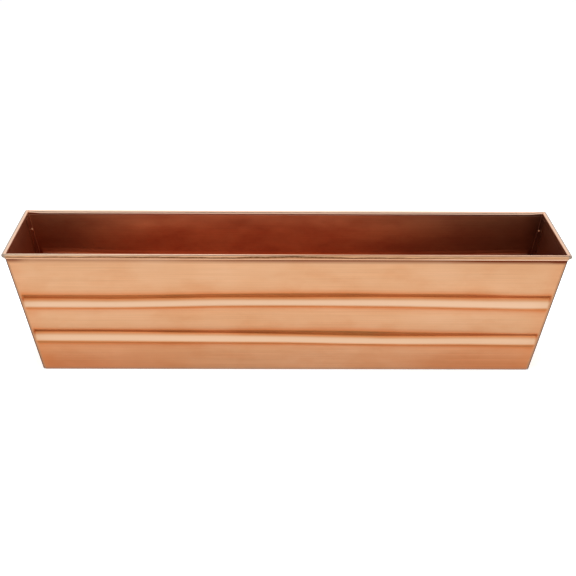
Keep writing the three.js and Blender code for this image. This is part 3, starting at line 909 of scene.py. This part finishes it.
class Nodes:
    """A material's node tree, with short calls for the nodes that the materials share."""

    def __init__(self, name):
        self.material = bpy.data.materials.new(name)
        self.material.use_nodes = True
        self.tree = self.material.node_tree
        self.tree.nodes.clear()

    def add(self, kind, **settings):
        node = self.tree.nodes.new(kind)
        for key, value in settings.items():
            setattr(node, key, value)
        return node

    def link(self, source, target):
        self.tree.links.new(source, target)

    def value(self, operation, a, b, clamp=False):
        node = self.add("ShaderNodeMath", operation=operation, use_clamp=clamp)
        for socket, given in zip(node.inputs, (a, b)):
            if isinstance(given, (int, float)):
                socket.default_value = given
            else:
                self.link(given, socket)
        return node.outputs[0]

    def range(self, source, low, high, new_low, new_high):
        node = self.add("ShaderNodeMapRange")
        self.link(source, node.inputs["Value"])
        for key, given in zip(("From Min", "From Max", "To Min", "To Max"),
                              (low, high, new_low, new_high)):
            node.inputs[key].default_value = given
        return node.outputs[0]

    def mix(self, share, a, b, blend="MIX"):
        node = self.add("ShaderNodeMix", data_type="RGBA", blend_type=blend)
        for socket, given in ((node.inputs[0], share), (node.inputs[6], a), (node.inputs[7], b)):
            if isinstance(given, (int, float)):
                socket.default_value = given
            elif isinstance(given, tuple):
                socket.default_value = (*given, 1)
            else:
                self.link(given, socket)
        return node.outputs[2]

    def mark(self, name):
        return self.add("ShaderNodeAttribute", attribute_name=name).outputs["Fac"]

    def noise(self, vector, scale, detail=3.0, roughness=0.55):
        node = self.add("ShaderNodeTexNoise")
        node.inputs["Scale"].default_value = scale
        node.inputs["Detail"].default_value = detail
        node.inputs["Roughness"].default_value = roughness
        self.link(vector, node.inputs["Vector"])
        return node.outputs["Fac"]

    def stretched(self, source, scale):
        node = self.add("ShaderNodeMapping")
        node.inputs["Scale"].default_value = scale
        self.link(source, node.inputs["Vector"])
        return node.outputs[0]


COPPER_FACE = (0.76, 0.43, 0.235)
COPPER_WARM = (0.69, 0.35, 0.17)
COPPER_PALE = (0.80, 0.49, 0.30)
# Painted highlight, where the tarnish-and-light mark is below 0
COPPER_HIGHLIGHT = (0.88, 0.57, 0.37)
STREAK_DARK = (0.93, 0.92, 0.9)
STREAK_LIGHT = (1.05, 1.05, 1.05)
CLOUD = (0.93, 0.81, 0.70)
# The inside's copper, painted darker and redder as shade, deeper where the clouds are
COPPER_INSIDE_SHADE = (0.69, 0.21, 0.083)
COPPER_INSIDE_DEEP_SHADE = (0.54, 0.135, 0.052)
# Painted shade with tarnish from 0 to 1 on the mark, and brown painted crease shade from 1 to 2
TARNISH_AND_SHADE_TINT = (0.94, 0.61, 0.40)
CREASE_SHADE_BROWN = (0.57, 0.68, 0.53)
# The front rim's stain with painted shade
RIM_STAIN_AND_SHADE = (0.14, 0.05, 0.014)
# Wear with a painted highlight on the rims
RIM_WEAR_HIGHLIGHT = (0.92, 0.61, 0.44)
RIM_POLISH_HIGHLIGHT = (1.0, 0.76, 0.53)
# Painted shade towards the inside's ends
END_SHADE_TINT = (0.03, 0.012, 0.008)
# Painted shade in nooks, folds, at the foot and evenly on the pan
PAINTED_SHADE_TINT = (0.22, 0.065, 0.02)
BARE = (0.37, 0.30, 0.25)
STEEL_EDGE = (0.10, 0.085, 0.08)
EDGE_COPPER = (0.30, 0.15, 0.08)
ZINC_DARK = (0.45, 0.43, 0.41)
ZINC_LIGHT = (0.6, 0.58, 0.56)
RIVET_DARK = (0.55, 0.27, 0.14)
RIVET_LIGHT = (0.7, 0.38, 0.22)


COPPER_COAT = 0.25
COAT_ROUGHNESS = 0.25


def metal(nodes, colour, roughness, bump, coat=0.0):
    shader = nodes.add("ShaderNodeBsdfPrincipled")
    shader.inputs["Metallic"].default_value = 1.0
    if coat:
        shader.inputs["Coat Weight"].default_value = coat
        shader.inputs["Coat Roughness"].default_value = COAT_ROUGHNESS
    nodes.link(colour, shader.inputs["Base Color"])
    nodes.link(roughness, shader.inputs["Roughness"])
    nodes.link(bump, shader.inputs["Normal"])
    output = nodes.add("ShaderNodeOutputMaterial")
    nodes.link(shader.outputs[0], output.inputs["Surface"])
    return nodes.material


def bump_of(nodes, height, distance):
    bump = nodes.add("ShaderNodeBump")
    bump.inputs["Strength"].default_value = 1.0
    bump.inputs["Distance"].default_value = distance
    nodes.link(height, bump.inputs["Height"])
    return bump.outputs[0]


def copper_material(name):
    """Brushed copper plate: fine streaks and bands along the sheet, soft blotches and clouds, an
    inside painted darker and redder as shade, and over them tarnish with painted shade and
    highlights, the rim's stain with painted shade, wear with painted highlights, painted shade in
    nooks and folds and towards the inside's ends, and grey bare steel."""
    nodes = Nodes(name)
    uv = nodes.add("ShaderNodeUVMap", uv_map="sheet").outputs[0]
    place = nodes.add("ShaderNodeTexCoord").outputs["Object"]
    streaks = nodes.noise(nodes.stretched(uv, (5, 900, 1)), 1.0, 4)
    bands = nodes.noise(nodes.stretched(uv, (3, 45, 1)), 1.0, 3)
    blotches = nodes.noise(nodes.stretched(place, (7, 7, 11)), 1.0, 3)
    tone = nodes.mix(nodes.range(blotches, 0.35, 0.65, 0, 1), COPPER_WARM, COPPER_PALE)
    tone = nodes.mix(0.55, tone, COPPER_FACE)
    tone = nodes.mix(nodes.range(bands, 0.3, 0.7, 0.45, 0.0), tone, COPPER_WARM)
    fine = nodes.mix(nodes.range(streaks, 0.3, 0.7, 0.0, 1.0), STREAK_DARK, STREAK_LIGHT)
    tone = nodes.mix(1.0, tone, fine, "MULTIPLY")
    clouds = nodes.noise(nodes.stretched(place, (11, 11, 26)), 1.0, 5, 0.6)
    tone = nodes.mix(nodes.range(clouds, 0.48, 0.72, 0, 0.7), tone,
                     nodes.mix(1.0, tone, CLOUD, "MULTIPLY"))
    # The inside's tone, painted darker and redder as shade
    inner = nodes.mix(nodes.range(clouds, 0.38, 0.66, 0, 1), COPPER_INSIDE_SHADE, COPPER_INSIDE_DEEP_SHADE)
    inner = nodes.mix(1.0, inner, fine, "MULTIPLY")
    # Painted highlight below 0 on the tarnish-and-light mark
    tarnish_and_painted_light = nodes.mark("tarnish_and_painted_light")
    tone = nodes.mix(nodes.value("MULTIPLY", tarnish_and_painted_light, -1, clamp=True), tone, COPPER_HIGHLIGHT)
    tone = nodes.mix(nodes.mark("inside"), tone, inner)
    # Painted shade with tarnish, then brown painted crease shade above 1
    tone = nodes.mix(nodes.value("MULTIPLY", tarnish_and_painted_light, 1, clamp=True), tone,
                     nodes.mix(1.0, tone, TARNISH_AND_SHADE_TINT, "MULTIPLY"))
    tone = nodes.mix(nodes.value("SUBTRACT", tarnish_and_painted_light, 1, clamp=True), tone,
                     nodes.mix(1.0, tone, CREASE_SHADE_BROWN, "MULTIPLY"))
    # Wear with a painted highlight on the rims, paler above 1
    wear_and_highlight = nodes.mark("wear_and_highlight")
    tone = nodes.mix(nodes.value("MULTIPLY", wear_and_highlight, 1, clamp=True), tone, RIM_WEAR_HIGHLIGHT)
    tone = nodes.mix(nodes.value("SUBTRACT", wear_and_highlight, 1, clamp=True), tone, RIM_POLISH_HIGHLIGHT)
    # The rim's stain with painted shade, speckled
    speckle = nodes.noise(nodes.stretched(uv, (220, 500, 1)), 1.0, 3)
    stain_and_shade = nodes.value("MULTIPLY", nodes.mark("stain_and_shade"), nodes.range(speckle, 0.35, 0.6, 0.75, 1))
    tone = nodes.mix(stain_and_shade, tone, RIM_STAIN_AND_SHADE)
    # Painted shade
    tone = nodes.mix(nodes.mark("painted_shade"), tone, nodes.mix(1.0, tone, PAINTED_SHADE_TINT, "MULTIPLY"))
    tone = nodes.mix(nodes.mark("bare"), tone, BARE)
    # Painted shade towards the inside's ends
    tone = nodes.mix(nodes.mark("painted_end_shade"), tone, END_SHADE_TINT)
    rough = nodes.range(streaks, 0.3, 0.7, 0.36, 0.28)
    rough = nodes.value("ADD", rough, nodes.value("MULTIPLY", nodes.mark("inside"), 0.08))
    return metal(nodes, tone, rough, bump_of(nodes, streaks, 0.00003), COPPER_COAT)


def edge_material(name):
    """The sheet's cut edge: grey steel with a smear of copper."""
    nodes = Nodes(name)
    place = nodes.add("ShaderNodeTexCoord").outputs["Object"]
    grain = nodes.noise(place, 400, 3)
    tone = nodes.mix(nodes.range(grain, 0.4, 0.7, 0, 0.6), STEEL_EDGE, EDGE_COPPER)
    rough = nodes.range(grain, 0.3, 0.7, 0.45, 0.6)
    return metal(nodes, tone, rough, bump_of(nodes, grain, 0.0001))


def wire_material(name):
    """Galvanised wire: dull grey zinc with a fine grain."""
    nodes = Nodes(name)
    place = nodes.add("ShaderNodeTexCoord").outputs["Object"]
    grain = nodes.noise(place, 250, 3)
    tone = nodes.mix(nodes.range(grain, 0.35, 0.65, 0, 1), ZINC_DARK, ZINC_LIGHT)
    rough = nodes.range(grain, 0.3, 0.7, 0.4, 0.55)
    return metal(nodes, tone, rough, bump_of(nodes, grain, 0.0001))


def rivet_material(name):
    """The rivets' copper plating, a little duller than the sheet's."""
    nodes = Nodes(name)
    place = nodes.add("ShaderNodeTexCoord").outputs["Object"]
    grain = nodes.noise(place, 600, 3)
    tone = nodes.mix(nodes.range(grain, 0.35, 0.65, 0, 1), RIVET_DARK, RIVET_LIGHT)
    rough = nodes.range(grain, 0.3, 0.7, 0.32, 0.45)
    return metal(nodes, tone, rough, bump_of(nodes, grain, 0.00005))


# ---------------------------------------------------------------------------
# Camera, light and floor

PHOTO_SIDE = 576
FOCAL_PIXELS = 1374
SENSOR = 36
CAMERA_DISTANCE = 2145.9
CAMERA_PITCH = math.radians(21.139)
CAMERA_YAW = math.radians(0.766)
CAMERA_ROLL = math.radians(-0.434)
CAMERA_ABOVE = 51.08
CAMERA_LEFT = -1.2
CAMERA_FAR = 50


def add_camera():
    """Looks down on the middle of the front rim, which it sees a little above its own middle."""
    pitch, roll = CAMERA_PITCH, CAMERA_ROLL
    forward = Vector((0, math.cos(pitch), -math.sin(pitch)))
    up = Vector((0, math.sin(pitch), math.cos(pitch)))
    right = Vector((1, 0, 0))
    eye = -forward * CAMERA_DISTANCE - up * CAMERA_ABOVE - right * CAMERA_LEFT
    turn = Matrix.Rotation(-CAMERA_YAW, 3, "Z")
    tilted_right = right * math.cos(roll) - up * math.sin(roll)
    tilted_up = right * math.sin(roll) + up * math.cos(roll)
    axes = Matrix((turn @ tilted_right, turn @ tilted_up, turn @ -forward)).transposed()
    place = turn @ eye + Vector((0, -RIM_WIDTH / 2, HEIGHT))
    camera = bpy.data.objects.new("camera", bpy.data.cameras.new("camera"))
    camera.data.sensor_width = SENSOR
    camera.data.lens = FOCAL_PIXELS * SENSOR / PHOTO_SIDE
    camera.data.clip_end = CAMERA_FAR
    camera.matrix_world = Matrix.Translation(place * MM) @ axes.to_4x4()
    bpy.context.scene.collection.objects.link(camera)
    bpy.context.scene.camera = camera


AMBIENT = 0.45
SKY_BRIGHT_TO = 48
SKY_DIM_FROM = 62
SKY_DIM = 0.12

# Softboxes that face down: place, size, radiance, and whether the metal mirrors them
LAMPS = {
    "key": ((-0.1, -0.45, 1.9), (2.6, 1.6), 1.8, False),
    "back": ((0, 0.85, 1.7), (2.6, 1.2), 1.4, True),
}


def add_light():
    world = bpy.data.worlds.new("studio")
    bpy.context.scene.world = world
    world.use_nodes = True
    tree = world.node_tree
    tree.nodes.clear()
    path = tree.nodes.new("ShaderNodeLightPath")
    seen = tree.nodes.new("ShaderNodeMath")
    seen.operation = "MAXIMUM"
    tree.links.new(path.outputs["Is Camera Ray"], seen.inputs[0])
    tree.links.new(path.outputs["Is Glossy Ray"], seen.inputs[1])
    through = tree.nodes.new("ShaderNodeMath")
    through.operation = "MAXIMUM"
    tree.links.new(seen.outputs[0], through.inputs[0])
    tree.links.new(path.outputs["Is Transmission Ray"], through.inputs[1])
    direction = tree.nodes.new("ShaderNodeTexCoord")
    height = tree.nodes.new("ShaderNodeSeparateXYZ")
    tree.links.new(direction.outputs["Generated"], height.inputs[0])
    sky = tree.nodes.new("ShaderNodeMapRange")
    sky.interpolation_type = "SMOOTHSTEP"
    sky.inputs["From Min"].default_value = math.sin(math.radians(SKY_BRIGHT_TO))
    sky.inputs["From Max"].default_value = math.sin(math.radians(SKY_DIM_FROM))
    sky.inputs["To Min"].default_value = 1
    sky.inputs["To Max"].default_value = SKY_DIM
    tree.links.new(height.outputs["Z"], sky.inputs["Value"])
    camera_or_sky = tree.nodes.new("ShaderNodeMath")
    camera_or_sky.operation = "MAXIMUM"
    tree.links.new(path.outputs["Is Camera Ray"], camera_or_sky.inputs[0])
    tree.links.new(sky.outputs[0], camera_or_sky.inputs[1])
    level = tree.nodes.new("ShaderNodeMapRange")
    level.inputs["To Min"].default_value = AMBIENT
    tree.links.new(through.outputs[0], level.inputs["Value"])
    tree.links.new(camera_or_sky.outputs[0], level.inputs["To Max"])
    background = tree.nodes.new("ShaderNodeBackground")
    background.inputs["Color"].default_value = (1, 1, 1, 1)
    tree.links.new(level.outputs[0], background.inputs["Strength"])
    output = tree.nodes.new("ShaderNodeOutputWorld")
    tree.links.new(background.outputs[0], output.inputs["Surface"])

    for name, (place, size, radiance, is_mirrored) in LAMPS.items():
        lamp = bpy.data.lights.new(name, "AREA")
        lamp.shape = "RECTANGLE"
        lamp.size, lamp.size_y = size
        lamp.energy = radiance * math.pi * size[0] * size[1]
        softbox = bpy.data.objects.new(name, lamp)
        softbox.location = place
        softbox.visible_glossy = is_mirrored
        bpy.context.scene.collection.objects.link(softbox)


FLOOR_COLOUR = (0.92, 0.92, 0.92, 1)
FLOOR_HALF = 10
FLOOR_LIFT_CAMERA = 0.55
FLOOR_LIFT_GLOSSY = 0.1


def add_floor():
    nodes = Nodes("studio_floor")
    diffuse = nodes.add("ShaderNodeBsdfDiffuse")
    diffuse.inputs["Color"].default_value = FLOOR_COLOUR
    path = nodes.add("ShaderNodeLightPath")
    camera_lift = nodes.value("MULTIPLY", path.outputs["Is Camera Ray"], FLOOR_LIFT_CAMERA)
    mirrored = nodes.value(
        "MAXIMUM", path.outputs["Is Glossy Ray"], path.outputs["Is Transmission Ray"]
    )
    lift = nodes.value("ADD", camera_lift, nodes.value("MULTIPLY", mirrored, FLOOR_LIFT_GLOSSY))
    glow = nodes.add("ShaderNodeEmission")
    nodes.link(lift, glow.inputs["Strength"])
    both = nodes.add("ShaderNodeAddShader")
    nodes.link(diffuse.outputs[0], both.inputs[0])
    nodes.link(glow.outputs[0], both.inputs[1])
    output = nodes.add("ShaderNodeOutputMaterial")
    nodes.link(both.outputs[0], output.inputs["Surface"])
    half = FLOOR_HALF
    mesh = bpy.data.meshes.new("studio_floor")
    corners = [(-half, -half, 0), (half, -half, 0), (half, half, 0), (-half, half, 0)]
    mesh.from_pydata(corners, [], [(0, 1, 2, 3)])
    mesh.materials.append(nodes.material)
    floor = bpy.data.objects.new("studio_floor", mesh)
    bpy.context.scene.collection.objects.link(floor)


# ---------------------------------------------------------------------------
# The scene


add_camera()
add_light()
add_floor()

copper = copper_material("copper_plate")
edge = edge_material("cut_edge")
wire = wire_material("galvanised_wire")
rivet_copper = rivet_material("rivet_copper")

add_piece(
    "front_sheet",
    panel_mesh("front_sheet", LONG_WALL, END_WALL, True,
               long_look(1, FRONT_GROOVES), front_rim, 0),
    (copper, edge), "copper_plate", "front_panel",
)
add_piece(
    "back_sheet",
    panel_mesh("back_sheet", LONG_WALL, END_WALL, True,
               long_look(5, BACK_GROOVES), back_rim, math.pi,
               (BACK_ROLL_SWELL, BACK_ROLL_DROP)),
    (copper, edge), "copper_plate", "back_panel",
)
for seed, (end, turn) in enumerate((("left", -math.pi / 2), ("right", math.pi / 2))):
    add_piece(
        f"{end}_end_sheet",
        panel_mesh(f"{end}_end_sheet", END_WALL, LONG_WALL, False,
                   end_look(20 + seed), end_rim, turn),
        (copper, edge), "copper_plate", f"{end}_end_panel",
    )

add_piece("floor_pan_sheet", pan_mesh("floor_pan_sheet"), (copper,), "copper_plate", "floor_pan")
for end, end_sign in (("left", -1), ("right", 1)):
    for side, side_sign in (("front", -1), ("back", 1)):
        for i, depth in enumerate(RIVET_DEPTHS):
            node = f"rivet_{side}_{end}_{i + 1}"
            mesh = rivet_mesh(f"{node}_set", end_sign, side_sign, depth)
            add_piece(f"{node}_set", mesh, (rivet_copper,), "rivet_copper", node)
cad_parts["rim_wire"].data.materials[0] = wire

bpy.context.scene.view_settings.view_transform = "Standard"
